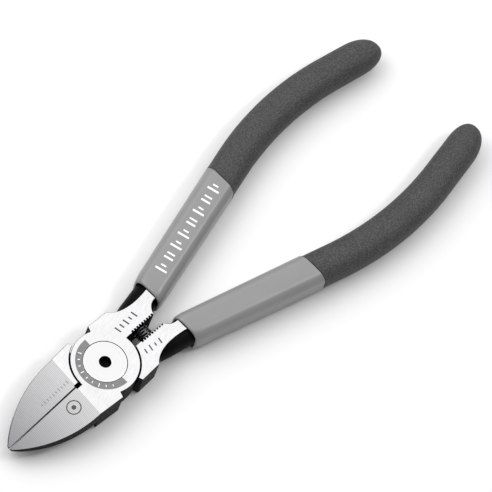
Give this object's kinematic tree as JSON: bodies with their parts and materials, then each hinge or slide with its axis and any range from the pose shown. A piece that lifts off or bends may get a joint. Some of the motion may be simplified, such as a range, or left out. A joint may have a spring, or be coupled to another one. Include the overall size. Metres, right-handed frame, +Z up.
{
  "type": "flush cutter",
  "caption": "Spring-loaded flush cutter: two lapped steel halves on one flush pivot pin, leaf-shaped blades, and long bowed handles in two layers of plastic.",
  "frame": {"origin": "on the pivot axis, at the flush underside of the pivot pin and head", "axes": "+X along the tool to the blade tips, +Z up through the pivot to the flush face of the blades, +Y to the front half's blade and the rear half's handle"},
  "size_m": [0.1594, 0.0532, 0.0098],
  "materials": {
    "ground_steel": "ground flats, black oxide on the forged sides",
    "pin_steel": "ground flush",
    "spring_steel": "drawn wire",
    "grey_plastic": "smooth satin",
    "dark_plastic": "fine foamed texture"
  },
  "bodies": {
    "rear": {"rear_half": "ground_steel", "rear_sleeve": "grey_plastic", "rear_grip": "dark_plastic", "pivot_pin": "pin_steel", "return_spring": "spring_steel"},
    "front": {"front_half": "ground_steel", "front_sleeve": "grey_plastic", "front_grip": "dark_plastic"}
  },
  "joints": [
    {"name": "jaw_open", "type": "hinge", "parent": "rear", "child": "front", "pos_m": [0, 0, 0.004], "axis": [0, 0, 1], "range_deg": [0, 38], "stiffness_Nm_per_rad": 0.6, "springref_deg": 22.92, "deforming": ["return_spring"]}
  ]
}
